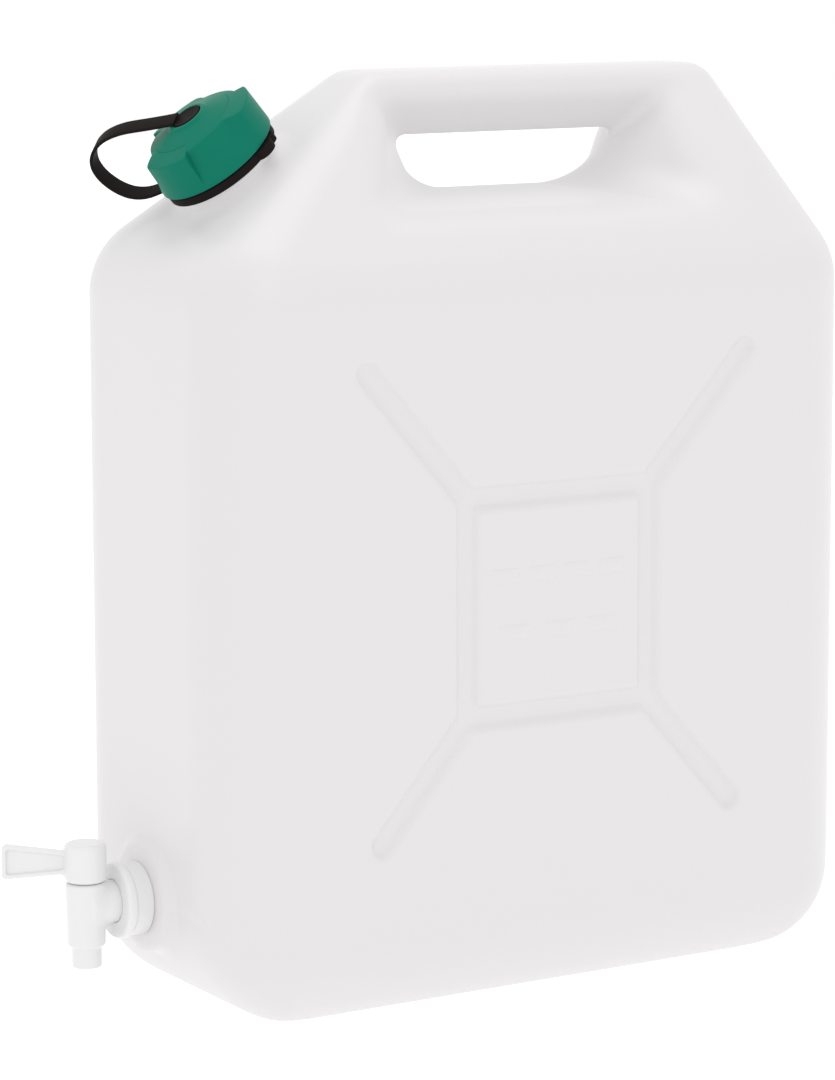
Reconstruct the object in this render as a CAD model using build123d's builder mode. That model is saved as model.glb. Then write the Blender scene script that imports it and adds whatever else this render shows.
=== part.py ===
"""Water jerry can with a screw cap on a tether and a plug tap.

Millimetres, +Z up. The origin is the centre of the base, on the surface it stands on.
+X runs along the length of the can, and the tap is at the -X end.
"""
from math import asin, atan, atan2, copysign, cos, degrees, hypot, radians, sin, sqrt
import os

from build123d import *

# ---- blow-moulded tank -------------------------------------------------------
LENGTH = 356.0
DEPTH = 164.4
HEIGHT = 440.0
WALL = 2.4

SHOULDER_Z = 335.0            # height where the straight walls end
SHOULDER_R = 40.0             # rounding of the shoulders and of the upright edges
CROWN_R = 17.0                # rounding of the handle's top
CROWN_Z = HEIGHT - CROWN_R
CROWN_TAP_END = 60.0          # handle top's rounding centres, from the origin
CROWN_FAR_END = 118.5
CROWN_HALF_DEPTH = 9.0
BASE_R_ENDS = 55.0            # rounding of the bottom edge at the two narrow ends
BASE_R_SIDES = 41.0           # and along the two big faces

# ---- handle opening: (top z, bottom z, top x ends, bottom x ends, bottom corner radius) --
OPENING_WAIST = (410.0, 384.0, (-42.0, 83.0), (-28.5, 69.5), 24.0)      # at the middle plane
OPENING_MOUTH = (471.0, 372.5, (-94.5, 135.5), (-74.0, 115.0), 40.0)    # at the big faces
OPENING_HIGH_R = 3.0

# ---- stiffening grooves on both big faces ----------------------------------------
GROOVE_DEPTH = 2.6
GROOVE_W = 12.0
FRAME_CENTRE = (-1.0, 193.7)
FRAME_SIZE = (113.5, 115.6)   # outside of the square groove
FRAME_R = 7.0
FRAME_INNER_R = 4.0
ARM_ENDS = ((-105.0, 307.0), (105.0, 307.0), (-98.0, 87.0), (98.0, 87.0))

# ---- filler neck, square to a plane tilted towards the tap end ---------------------
NECK_TILT = 39.0
NECK_FOOT = Vector(-129.0, 0.0, 392.0)
NECK_R = 23.4
NECK_BORE_R = 20.6
NECK_LENGTH = 27.0
BEAD_R = 27.0
BEAD_Z = (5.0, 8.2)
PITCH = 5.0
THREAD_DEPTH = 1.7
THREAD_CREST = 1.4
THREAD_ROOT = 2.2
THREAD_BURY = 0.3            # how far a ridge reaches into its wall
NECK_THREAD_START = 15.0
NECK_THREAD_TURNS = 2.0

# ---- cap, measured along the neck's axis from the foot ------------------------------
CAP_BASE = 12.8
CAP_RIM = 33.2               # where the cone of the roof meets the outer wall
CAP_R = 31.0
CAP_STEP = 3.4
CAP_LOBES = 3
CAP_LOBE_START = 46.0         # degrees round the neck's axis, from the down-slope side
CAP_BORE_R = 25.6
CAP_ROOF = 29.6
HUB_R = 11.0
HUB_TOP = 37.8
HUB_RECESS_R = 7.7
HUB_RECESS_FLOOR = 34.9
HUB_HOLE_R = 3.8
CAP_THREAD_START = NECK_THREAD_START + PITCH / 2
CAP_THREAD_TURNS = 1.6
HUB_FOOT = 36.4
WING_W = 2.6
WING_SPAN = 42.0
WING_RISE = 1.4
GASKET_R = (18.6, 25.2)
GASKET_GAP = 0.2              # the gasket stands this far off the rim of the neck

# ---- tether: a collar on the neck, a strap and a button in the cap --------------------
COLLAR_Z = (8.6, 12.2)
COLLAR_R = (23.8, 31.4)
LUG_ANGLE = 150.0
LUG_LENGTH = 3.4
STRAP_ANGLE = -52.0
STRAP_W = 9.5
STRAP_T = 1.6
BUTTON_R = 7.2
BUTTON_TOP = 39.4
STEM_R = 3.4
STEM_END = 26.0
BARB_R = 5.2
STRAP_BEND_R = 7.0
# strap route: distance from the neck's axis, height above the foot
STRAP_ROUTE = ((7.6, 38.6), (19.0, 41.9), (35.0, 46.6), (49.0, 44.6), (57.4, 35.0),
               (54.2, 19.8), (44.6, 10.4), (31.6, 10.4))

GAP = 0.3                     # clearance between pieces that move on each other

# ---- tap boss and tap, on a level axis at the -X end ----------------------------------
TAP_Z = 57.0
BOSS_R = 25.6
BOSS_FACE = -182.6
SPIGOT_R = 14.6
SPIGOT_END = -189.5
SPIGOT_BORE_R = 10.5
NUT_R = 18.0
NUT_FRONT = -196.6
NUT_BACK = -183.4
NUT_LIP = 2.4
NUT_ROUND = 1.5
TAP_GASKET_T = 1.8
FLANGE_R = 14.2
INLET_R = 10.0
INLET_BORE_R = 5.0
BARREL_X = -210.3
BARREL_TOP_Z = 68.0
BARREL_BOTTOM_Z = 37.6
BARREL_R = (8.85, 9.6)        # at the bottom and at the top
SPOUT_R = 7.0
SPOUT_BORE_R = 5.0
SPOUT_END_Z = 27.6
PLUG_R = 6.4
PLUG_BORE_R = 6.45
PLUG_BOTTOM_Z = 43.0
PORT_R = 4.0
HEAD_GAP = 0.35
HEAD_TOP_Z = 86.8
HEAD_R = 9.9
HEAD_ROUND = 1.6
LEVER_ANGLE = 146.5           # where the lever points, degrees from +X
LEVER_Z = 77.3
LEVER_END = 39.0
LEVER_H = (9.0, 17.0)
LEVER_T = 5.0
LEVER_WEB = 1.8
LEVER_RIM = 2.2
LEVER_CORNER_R = 2.0

SLOPE_SIDE = Vector(-cos(radians(NECK_TILT)), 0, -sin(radians(NECK_TILT)))
NECK_AXIS = Vector(-sin(radians(NECK_TILT)), 0, cos(radians(NECK_TILT)))
NECK = Plane(origin=NECK_FOOT, x_dir=SLOPE_SIDE, z_dir=NECK_AXIS)
TAP = Plane(origin=(0, 0, TAP_Z), x_dir=(0, 1, 0), z_dir=(-1, 0, 0))


def half_width(z, half, base_r, crown, inset):
    """Distance from the middle to a wall at height z: base arc, wall, shoulder, slope, crown."""
    shoulder_r, crown_r = SHOULDER_R - inset, CROWN_R - inset
    shoulder = half - SHOULDER_R
    rise = CROWN_Z - SHOULDER_Z
    lean = atan((shoulder - crown) / rise) + asin(
        (shoulder_r - crown_r) / hypot(shoulder - crown, rise))
    z1, w1 = SHOULDER_Z + shoulder_r * sin(lean), shoulder + shoulder_r * cos(lean)
    z2, w2 = CROWN_Z + crown_r * sin(lean), crown + crown_r * cos(lean)
    if z < base_r:
        return half - base_r + sqrt(max((base_r - inset) ** 2 - (base_r - z) ** 2, 0))
    if z < SHOULDER_Z:
        return half - inset
    if z < z1:
        return shoulder + sqrt(shoulder_r ** 2 - (z - SHOULDER_Z) ** 2)
    if z < z2:
        return w1 + (w2 - w1) * (z - z1) / (z2 - z1)
    return crown + sqrt(max(crown_r ** 2 - (z - CROWN_Z) ** 2, 0))


def corner_radius(z, inset):
    """Plan rounding of the upright edges: smaller towards the base and the crown."""
    least = 2.0
    if z < BASE_R_SIDES:
        share = (BASE_R_SIDES - z) / (BASE_R_SIDES - inset)
        return max((SHOULDER_R - inset) * sqrt(max(1 - share ** 2, 0)), least)
    if z < SHOULDER_Z:
        return SHOULDER_R - inset
    share = min((z - SHOULDER_Z) / (CROWN_Z - SHOULDER_Z), 1)
    radius = SHOULDER_R - inset - share * (SHOULDER_R - CROWN_R)
    if z > CROWN_Z:
        radius = sqrt(max(radius ** 2 - (z - CROWN_Z) ** 2, 0))
    return max(radius, least)


def section_heights(inset):
    """Heights of the tank's sections, close together where the outline is curved."""
    base = [inset + (BASE_R_ENDS - inset) * (1 - cos(radians(a))) for a in range(0, 91, 9)]
    shoulder = [SHOULDER_Z + (SHOULDER_R - inset) * sin(radians(a)) for a in range(0, 55, 7)]
    crown = [CROWN_Z + (CROWN_R - inset) * sin(radians(a)) for a in (26, 35, 44, 53, 63, 76, 90)]
    return base + shoulder + crown


def tank_form(inset):
    """The tank without its openings, with every wall moved inwards by inset."""
    with BuildPart() as form:
        for z in section_heights(inset):
            low = -half_width(z, LENGTH / 2, BASE_R_ENDS, CROWN_TAP_END, inset)
            high = half_width(z, LENGTH / 2, BASE_R_ENDS, CROWN_FAR_END, inset)
            half_depth = half_width(z, DEPTH / 2, BASE_R_SIDES, CROWN_HALF_DEPTH, inset)
            with BuildSketch(Plane.XY.offset(z)):
                with Locations(((low + high) / 2, 0)):
                    RectangleRounded(high - low, 2 * half_depth, corner_radius(z, inset))
        loft(ruled=True)
    return form.part


def opening_outline(top, bottom, top_ends, bottom_ends, low_r, grow):
    """Draws one section of the handle opening into the sketch in hand."""
    with BuildLine() as edge:
        Polyline((top_ends[0], top), (top_ends[1], top),
                 (bottom_ends[1], bottom), (bottom_ends[0], bottom), close=True)
    face = make_face(edge.line)
    fillet(face.vertices().group_by(Axis.Y)[0], low_r)
    fillet(face.vertices().group_by(Axis.Y)[-1], OPENING_HIGH_R)
    if grow:
        offset(amount=grow)


def hand_opening(wall):
    """The handle's opening, swelling from its waist towards both faces, grown by a wall."""
    with BuildPart() as space:
        with BuildSketch(Plane.XZ):
            opening_outline(*OPENING_WAIST, wall)
        with BuildSketch(Plane.XZ.offset(DEPTH / 2)):
            opening_outline(*OPENING_MOUTH, wall)
        loft()
        mirror(about=Plane.XZ)
    return space.part


def draw_grooves(grow):
    """Square groove with four arms, drawn into the sketch in hand."""
    width, height = FRAME_SIZE
    inner = 2 * GROOVE_W + 2 * grow
    with Locations(FRAME_CENTRE):
        RectangleRounded(width + 2 * grow, height + 2 * grow, FRAME_R + grow)
        RectangleRounded(width - inner, height - inner, FRAME_INNER_R, mode=Mode.SUBTRACT)
    for end_x, end_z in ARM_ENDS:
        start_x = FRAME_CENTRE[0] + copysign((width - GROOVE_W) / 2, end_x - FRAME_CENTRE[0])
        start_z = FRAME_CENTRE[1] + copysign((height - GROOVE_W) / 2, end_z - FRAME_CENTRE[1])
        run_x, run_z = end_x - start_x, end_z - start_z
        with Locations((start_x + run_x / 2, start_z + run_z / 2)):
            SlotCenterToCenter(hypot(run_x, run_z), GROOVE_W + 2 * grow,
                               rotation=degrees(atan2(run_z, run_x)))


def grooves(floor, grow):
    """Solids of the grooves on both big faces, from floor (distance off the middle) outwards."""
    with BuildPart() as bars:
        for side in (-1, 1):
            with BuildSketch(Plane.XZ.offset(side * floor)):
                draw_grooves(grow)
            extrude(amount=side * (DEPTH - floor))
    return bars.part


def helical_thread(plane, start, turns, root_r, depth):
    """Thread ridge round a plane's axis: depth is negative for a ridge that points inwards."""
    bury = copysign(THREAD_BURY, depth)
    with BuildPart() as thread:
        with BuildLine() as path:
            Helix(PITCH, PITCH * turns, root_r)
        with BuildSketch(Plane((root_r, 0, 0), x_dir=(1, 0, 0), z_dir=(0, -1, 0))):
            with BuildLine():
                Polyline((-bury, -THREAD_ROOT / 2), (depth, -THREAD_CREST / 2),
                         (depth, THREAD_CREST / 2), (-bury, THREAD_ROOT / 2), close=True)
            make_face()
        sweep(path=path.line, is_frenet=True)
    return plane.offset(start).location * thread.part


def tank():
    """Hollow tank with its handle, filler neck and tap boss, in one moulding."""
    with BuildPart() as shell:
        add(tank_form(0))
        with BuildSketch(NECK.offset(-WALL)):
            Circle(NECK_R)
        extrude(amount=NECK_LENGTH + WALL)
        with BuildSketch(NECK.offset(BEAD_Z[0])):
            Circle(BEAD_R)
        extrude(amount=BEAD_Z[1] - BEAD_Z[0])
        with BuildSketch(TAP.offset(LENGTH / 2 - BASE_R_ENDS)):
            Circle(BOSS_R)
        extrude(amount=-BOSS_FACE - LENGTH / 2 + BASE_R_ENDS)
        with BuildSketch(TAP.offset(-BOSS_FACE - WALL)):
            Circle(SPIGOT_R)
        extrude(amount=BOSS_FACE - SPIGOT_END + WALL)
        add(hand_opening(0), mode=Mode.SUBTRACT)
        add(grooves(DEPTH / 2 - GROOVE_DEPTH, 0), mode=Mode.SUBTRACT)
        add(cavity(), mode=Mode.SUBTRACT)
        add(helical_thread(NECK, NECK_THREAD_START, NECK_THREAD_TURNS, NECK_R, THREAD_DEPTH))
    return shell.part


def cavity():
    """Space inside the tank, the handle, the neck and the tap boss."""
    with BuildPart() as space:
        add(tank_form(WALL))
        with BuildSketch(TAP.offset(LENGTH / 2 - BASE_R_ENDS)):
            Circle(BOSS_R - WALL)
        extrude(amount=-BOSS_FACE - LENGTH / 2 + BASE_R_ENDS - WALL)
        add(hand_opening(WALL), mode=Mode.SUBTRACT)
        add(grooves(DEPTH / 2 - GROOVE_DEPTH - WALL, WALL), mode=Mode.SUBTRACT)
        with BuildSketch(NECK.offset(-NECK_BORE_R)):
            Circle(NECK_BORE_R)
        extrude(amount=NECK_LENGTH + NECK_BORE_R + 1)
        with BuildSketch(TAP.offset(LENGTH / 2 - BASE_R_ENDS)):
            Circle(SPIGOT_BORE_R)
        extrude(amount=-SPIGOT_END - LENGTH / 2 + BASE_R_ENDS + 1)
    return space.part


def polar(radius, angle):
    """Point of a flat sketch at a radius and an angle in degrees."""
    return (radius * cos(radians(angle)), radius * sin(radians(angle)))


def cap_outline():
    """Pinwheel outline: each lobe widens round the axis and ends in a radial step."""
    lobe_angle = 360 / CAP_LOBES
    with BuildLine() as outline:
        for lobe in range(CAP_LOBES):
            start = CAP_LOBE_START + lobe * lobe_angle
            tip = polar(CAP_R, start + lobe_angle)
            ThreePointArc(polar(CAP_R - CAP_STEP, start),
                          polar(CAP_R - CAP_STEP / 2, start + lobe_angle / 2), tip)
            Line(tip, polar(CAP_R - CAP_STEP, start + lobe_angle))
    return outline.line


def wing_outline(tip):
    """Curved bar along the outer end of the lobe whose tip is at this angle."""
    outer, inner = CAP_R, CAP_R - WING_W
    drop = CAP_STEP * WING_SPAN * CAP_LOBES / 360
    with BuildLine() as outline:
        Line(polar(outer, tip), polar(inner, tip))
        ThreePointArc(polar(inner, tip), polar(inner - drop / 2, tip - WING_SPAN / 2),
                      polar(inner - drop, tip - WING_SPAN))
        Line(polar(inner - drop, tip - WING_SPAN), polar(outer - drop, tip - WING_SPAN))
        ThreePointArc(polar(outer - drop, tip - WING_SPAN),
                      polar(outer - drop / 2, tip - WING_SPAN / 2), polar(outer, tip))
    return outline.line


def cap():
    """Screw cap: pinwheel grip, cone roof, hub with a recess and hole for the tether button."""
    with BuildPart() as shell:
        with BuildSketch(NECK.offset(CAP_BASE)):
            make_face(cap_outline())
        extrude(amount=HUB_TOP - CAP_BASE)
        with BuildSketch(Plane(NECK_FOOT, SLOPE_SIDE, Vector(0, 1, 0))):
            with BuildLine():
                Polyline((0, CAP_BASE), (CAP_R + 1, CAP_BASE), (CAP_R + 1, CAP_RIM),
                         (HUB_R, HUB_FOOT), (HUB_R, HUB_TOP), (0, HUB_TOP), close=True)
            make_face()
        revolve(axis=Axis(NECK_FOOT, NECK_AXIS), mode=Mode.INTERSECT)
        with BuildSketch(NECK.offset(CAP_RIM - WING_W)):
            for lobe in range(CAP_LOBES):
                make_face(wing_outline(CAP_LOBE_START + lobe * 360 / CAP_LOBES))
        extrude(amount=WING_W + WING_RISE)
        with BuildSketch(NECK.offset(CAP_BASE)):
            Circle(CAP_BORE_R)
        extrude(amount=CAP_ROOF - CAP_BASE, mode=Mode.SUBTRACT)
        with BuildSketch(NECK.offset(HUB_RECESS_FLOOR)):
            Circle(HUB_RECESS_R)
        extrude(amount=HUB_TOP - HUB_RECESS_FLOOR, mode=Mode.SUBTRACT)
        with BuildSketch(NECK.offset(CAP_BASE)):
            Circle(HUB_HOLE_R)
        extrude(amount=HUB_TOP - CAP_BASE, mode=Mode.SUBTRACT)
        add(helical_thread(NECK, CAP_THREAD_START, CAP_THREAD_TURNS, CAP_BORE_R, -THREAD_DEPTH))
    return shell.part


def ring(plane, start, end, inner_r, outer_r):
    """Flat ring between two heights on a plane's axis."""
    with BuildPart() as washer:
        with BuildSketch(plane.offset(start)):
            Circle(outer_r)
            Circle(inner_r, mode=Mode.SUBTRACT)
        extrude(amount=end - start)
    return washer.part


def tether_ring():
    """Collar that turns on the neck under the cap, with a small finger lug."""
    with BuildPart() as collar:
        with BuildSketch(NECK.offset(COLLAR_Z[0])):
            Circle(COLLAR_R[1])
            with PolarLocations(COLLAR_R[1], 1, LUG_ANGLE):
                Circle(LUG_LENGTH)
            Circle(COLLAR_R[0], mode=Mode.SUBTRACT)
        extrude(amount=COLLAR_Z[1] - COLLAR_Z[0])
    return collar.part


def tether_band():
    """Flat strap that leaves the collar, loops out and comes back over the hub."""
    out = SLOPE_SIDE * cos(radians(STRAP_ANGLE)) - Vector(0, 1, 0) * sin(radians(STRAP_ANGLE))
    with BuildPart() as band:
        with BuildSketch(Plane(NECK_FOOT, out, out.cross(NECK_AXIS))):
            with BuildLine() as route:
                FilletPolyline(*STRAP_ROUTE, radius=STRAP_BEND_R)
            trace(route.line, STRAP_T)
        extrude(amount=STRAP_W / 2, both=True)
    return band.part


def tether_stud():
    """Button in the hub's recess, with a stem through the cap's hole and a barbed end."""
    with BuildPart() as stud:
        with BuildSketch(NECK.offset(HUB_RECESS_FLOOR + GAP)):
            Circle(BUTTON_R)
        extrude(amount=BUTTON_TOP - HUB_RECESS_FLOOR - GAP)
        with BuildSketch(NECK.offset(STEM_END)):
            Circle(STEM_R)
        extrude(amount=HUB_RECESS_FLOOR - STEM_END + GAP)
        with BuildSketch(NECK.offset(STEM_END)):
            Circle(STEM_R)
        with BuildSketch(NECK.offset(CAP_ROOF - GAP)):
            Circle(BARB_R)
        loft()
    return stud.part


def union_nut():
    """Ring nut over the spigot: its lip holds the tap's flange against the gasket."""
    with BuildPart() as nut:
        with BuildSketch(TAP.offset(-NUT_BACK)):
            Circle(NUT_R)
        extrude(amount=NUT_BACK - NUT_FRONT)
        fillet(nut.edges().group_by(Axis.X)[0], NUT_ROUND)
        with BuildSketch(TAP.offset(-NUT_BACK)):
            Circle(SPIGOT_R)
        extrude(amount=NUT_BACK - NUT_FRONT - NUT_LIP, mode=Mode.SUBTRACT)
        with BuildSketch(TAP.offset(-NUT_BACK)):
            Circle(INLET_R)
        extrude(amount=NUT_BACK - NUT_FRONT, mode=Mode.SUBTRACT)
    return nut.part


def tap_housing():
    """Inlet with a flange, upright tapered barrel and spout; bored for water and for the plug."""
    barrel = Plane(origin=(BARREL_X, 0, 0))
    with BuildPart() as housing:
        with BuildSketch(TAP.offset(-SPIGOT_END + TAP_GASKET_T)):
            Circle(FLANGE_R)
        extrude(amount=SPIGOT_END - TAP_GASKET_T - NUT_FRONT - NUT_LIP)
        with BuildSketch(TAP.offset(-SPIGOT_END + TAP_GASKET_T)):
            Circle(INLET_R)
        extrude(amount=SPIGOT_END - TAP_GASKET_T - BARREL_X)
        with BuildSketch(barrel.offset(BARREL_BOTTOM_Z)):
            Circle(BARREL_R[0])
        with BuildSketch(barrel.offset(BARREL_TOP_Z)):
            Circle(BARREL_R[1])
        loft()
        with BuildSketch(barrel.offset(SPOUT_END_Z)):
            Circle(SPOUT_R)
        extrude(amount=BARREL_BOTTOM_Z - SPOUT_END_Z)
        with BuildSketch(barrel.offset(PLUG_BOTTOM_Z)):
            Circle(PLUG_BORE_R)
        extrude(amount=BARREL_TOP_Z - PLUG_BOTTOM_Z, mode=Mode.SUBTRACT)
        with BuildSketch(barrel.offset(SPOUT_END_Z)):
            Circle(SPOUT_BORE_R)
        extrude(amount=PLUG_BOTTOM_Z - SPOUT_END_Z, mode=Mode.SUBTRACT)
        with BuildSketch(TAP.offset(-SPIGOT_END)):
            Circle(INLET_BORE_R)
        extrude(amount=SPIGOT_END - BARREL_X, mode=Mode.SUBTRACT)
    return housing.part


def tap_plug():
    """Rotary plug with a side port, closed at rest, and a head with a paddle lever."""
    turn = Plane(origin=(BARREL_X, 0, 0))
    lever_side = Plane(origin=(BARREL_X, 0, LEVER_Z), x_dir=(cos(radians(LEVER_ANGLE)),
                       sin(radians(LEVER_ANGLE)), 0),
                       z_dir=(sin(radians(LEVER_ANGLE)), -cos(radians(LEVER_ANGLE)), 0))
    with BuildPart() as plug:
        with BuildSketch(turn.offset(PLUG_BOTTOM_Z + GAP)):
            Circle(PLUG_R)
        extrude(amount=BARREL_TOP_Z + HEAD_GAP - PLUG_BOTTOM_Z - GAP)
        with BuildSketch(turn.offset(BARREL_TOP_Z + HEAD_GAP)):
            Circle(HEAD_R)
        extrude(amount=HEAD_TOP_Z - BARREL_TOP_Z - HEAD_GAP)
        fillet(plug.edges().group_by(Axis.Z)[-1], HEAD_ROUND)
        with BuildSketch(lever_side):
            with BuildLine():
                Polyline((0, LEVER_H[0] / 2), (LEVER_END, LEVER_H[1] / 2),
                         (LEVER_END, -LEVER_H[1] / 2), (0, -LEVER_H[0] / 2), close=True)
            paddle = make_face()
            fillet(paddle.vertices().group_by(Axis.X)[-1], LEVER_CORNER_R)
        extrude(amount=LEVER_T / 2, both=True)
        for side in (-1, 1):
            with BuildSketch(lever_side.offset(side * LEVER_WEB / 2)):
                with BuildLine():
                    Polyline((HEAD_R, LEVER_H[0] / 2 - LEVER_RIM),
                             (LEVER_END - LEVER_RIM, LEVER_H[1] / 2 - LEVER_RIM),
                             (LEVER_END - LEVER_RIM, LEVER_RIM - LEVER_H[1] / 2),
                             (HEAD_R, LEVER_RIM - LEVER_H[0] / 2), close=True)
                make_face()
            extrude(amount=side * LEVER_T, mode=Mode.SUBTRACT)
        with BuildSketch(turn.offset(PLUG_BOTTOM_Z + GAP)):
            Circle(PORT_R)
        extrude(amount=TAP_Z - PLUG_BOTTOM_Z + PORT_R, mode=Mode.SUBTRACT)
        with BuildSketch(Plane.XZ.offset(0)):
            with Locations((BARREL_X, TAP_Z)):
                Circle(PORT_R)
        extrude(amount=2 * PLUG_R, mode=Mode.SUBTRACT)
    return plug.part


PIECES = {
    "can_body": tank(),
    "filler_cap": cap(),
    "cap_gasket": ring(NECK, NECK_LENGTH + GASKET_GAP, CAP_ROOF, *GASKET_R),
    "tether_collar": tether_ring(),
    "tether_strap": tether_band(),
    "tether_button": tether_stud(),
    "tap_union_nut": union_nut(),
    "tap_gasket": ring(TAP, -SPIGOT_END, -SPIGOT_END + TAP_GASKET_T, SPIGOT_BORE_R, FLANGE_R),
    "tap_body": tap_housing(),
    "tap_key": tap_plug(),
}

os.makedirs("parts", exist_ok=True)
for name, piece in PIECES.items():
    piece.label = name
    export_step(piece, f"parts/{name}.step")
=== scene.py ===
"""Looks for the water jerry can: smooth moulded pieces and their materials on the CAD frame."""
import math

import bmesh
import bpy
import numpy as np
from mathutils import Matrix, Vector


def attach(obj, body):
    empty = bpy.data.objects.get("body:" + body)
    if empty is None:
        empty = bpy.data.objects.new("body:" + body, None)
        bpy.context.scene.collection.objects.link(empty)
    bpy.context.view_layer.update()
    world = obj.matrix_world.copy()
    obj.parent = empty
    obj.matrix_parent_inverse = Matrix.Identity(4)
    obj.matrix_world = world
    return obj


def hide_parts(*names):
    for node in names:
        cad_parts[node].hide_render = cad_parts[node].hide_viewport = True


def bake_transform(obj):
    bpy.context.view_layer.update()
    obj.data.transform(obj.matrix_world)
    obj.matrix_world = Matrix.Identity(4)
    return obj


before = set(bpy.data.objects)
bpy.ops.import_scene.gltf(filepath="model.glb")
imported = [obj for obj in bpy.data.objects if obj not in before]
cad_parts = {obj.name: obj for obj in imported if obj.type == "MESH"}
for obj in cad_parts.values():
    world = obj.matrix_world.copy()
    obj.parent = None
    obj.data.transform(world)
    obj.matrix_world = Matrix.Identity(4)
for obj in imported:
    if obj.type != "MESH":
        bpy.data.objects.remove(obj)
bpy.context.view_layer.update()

MM = 0.001


# ---- distance fields, in millimetres, negative inside --------------------------------

def smooth_max(a, b, k):
    """Larger of two fields, rounded where they meet over a width k."""
    h = np.clip(0.5 + 0.5 * (a - b) / k, 0, 1)
    return b + (a - b) * h + k * h * (1 - h)


def smooth_min(a, b, k):
    """Smaller of two fields, filleted where they meet over a width k."""
    return -smooth_max(-a, -b, k)


def round_disc(radial, along, radius, low, high, r):
    """Cylinder between two heights with rounded rims."""
    past_end = np.abs(along - (low + high) / 2) - (high - low) / 2
    d = np.stack([radial - radius + r, past_end + r], -1)
    return np.linalg.norm(np.maximum(d, 0), axis=-1) + np.minimum(d.max(axis=-1), 0) - r


def segment(px, pz, ax, az, bx, bz):
    """Distance from points of a plane to a straight segment."""
    vx, vz = bx - ax, bz - az
    t = np.clip(((px - ax) * vx + (pz - az) * vz) / (vx * vx + vz * vz), 0, 1)
    return np.hypot(px - ax - t * vx, pz - az - t * vz)


def smooth_step(x, low, high):
    """0 below low, 1 above high, and an even ease between."""
    t = np.clip((x - low) / (high - low), 0, 1)
    return t * t * (3 - 2 * t)


# ---- meshes from fields --------------------------------------------------------------

def gradient(field, p, e):
    """Slope of a field at points, by central differences."""
    g = np.empty_like(p)
    for axis in range(3):
        step = np.zeros(3)
        step[axis] = e
        g[:, axis] = (field(p + step) - field(p - step)) / (2 * e)
    return g


def settle(field, p, step, rounds=4):
    """Moves points on to a field's zero surface."""
    for _ in range(rounds):
        g = gradient(field, p, step * 0.25)
        size = np.maximum((g * g).sum(1), 0.05)
        move = -(field(p) / size)[:, None] * g
        length = np.linalg.norm(move, axis=1, keepdims=True)
        p = p + move * np.minimum(1, step * 0.5 / np.maximum(length, 1e-9))
    return p


def surface_nets(field, low, high, step):
    """Closed quad mesh of a field's zero surface: (points, quads)."""
    low, high = np.array(low, float), np.array(high, float)
    counts = np.ceil((high - low) / step).astype(int) + 1
    axes = [low[i] + step * np.arange(counts[i]) for i in range(3)]
    values = np.empty(counts)
    for i, x in enumerate(axes[0]):
        yy, zz = np.meshgrid(axes[1], axes[2], indexing="ij")
        slab = np.stack([np.full_like(yy, x), yy, zz], -1).reshape(-1, 3)
        values[i] = field(slab).reshape(yy.shape)
    inside = values < 0
    total = np.zeros((*(counts - 1), 3))
    hits = np.zeros(counts - 1)
    corners = [(0, 0), (0, 1), (1, 0), (1, 1)]
    for axis in range(3):
        others = [a for a in range(3) if a != axis]
        for c in corners:
            start = [0, 0, 0]
            start[others[0]], start[others[1]] = c
            end = list(start)
            end[axis] = 1
            a = tuple(slice(s, s + n) for s, n in zip(start, counts - 1))
            b = tuple(slice(s, s + n) for s, n in zip(end, counts - 1))
            va, vb = values[a], values[b]
            crossing = inside[a] != inside[b]
            t = np.where(crossing, va / np.where(crossing, va - vb, 1), 0)
            for k in range(3):
                total[..., k] += np.where(crossing, start[k] + (t if k == axis else 0), 0)
            hits += crossing
    used = hits > 0
    index = np.full(used.shape, -1)
    index[used] = np.arange(used.sum())
    cell = np.argwhere(used)
    points = low + step * (cell + total[used] / hits[used][:, None])
    quads = []
    for axis in range(3):
        u, v = (axis + 1) % 3, (axis + 2) % 3
        shifted = [slice(None)] * 3
        here = [slice(None)] * 3
        here[axis], shifted[axis] = slice(0, -1), slice(1, None)
        crossing = np.argwhere(inside[tuple(here)] != inside[tuple(shifted)])
        keep = (crossing[:, u] > 0) & (crossing[:, v] > 0)
        keep &= (crossing[:, u] < counts[u] - 1) & (crossing[:, v] < counts[v] - 1)
        crossing = crossing[keep]
        ring = []
        for du, dv in ((-1, -1), (0, -1), (0, 0), (-1, 0)):
            c = crossing.copy()
            c[:, u] += du
            c[:, v] += dv
            ring.append(index[c[:, 0], c[:, 1], c[:, 2]])
        quad = np.stack(ring, 1)
        outward = inside[crossing[:, 0], crossing[:, 1], crossing[:, 2]]
        quad[~outward] = quad[~outward][:, ::-1]
        quads.append(quad)
    return points, np.concatenate(quads)


def relax(points, quads, share):
    """Evens out a quad mesh by moving each point towards its neighbours' average."""
    total = np.zeros_like(points)
    count = np.zeros(len(points))
    for k in range(4):
        a, b = quads[:, k], quads[:, (k + 1) % 4]
        np.add.at(total, a, points[b])
        np.add.at(total, b, points[a])
        np.add.at(count, a, 1)
        np.add.at(count, b, 1)
    return points + share * (total / count[:, None] - points)


def mesh_object(name, points, faces):
    """Smooth-shaded object from points in millimetres."""
    mesh = bpy.data.meshes.new(name)
    mesh.from_pydata((np.asarray(points) * MM).tolist(), [], [list(map(int, f)) for f in faces])
    mesh.validate()
    mesh.shade_smooth()
    mesh.update()
    obj = bpy.data.objects.new(name, mesh)
    bpy.context.scene.collection.objects.link(obj)
    return obj


def field_surface(field, low, high, step):
    """Points and quads of a field's zero surface, evened out."""
    points, quads = surface_nets(field, low, high, step)
    points = settle(field, points, step)
    for _ in range(2):
        points = settle(field, relax(points, quads, 0.5), step, 2)
    return points, quads


# ---- the can's form ------------------------------------------------------------------

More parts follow.
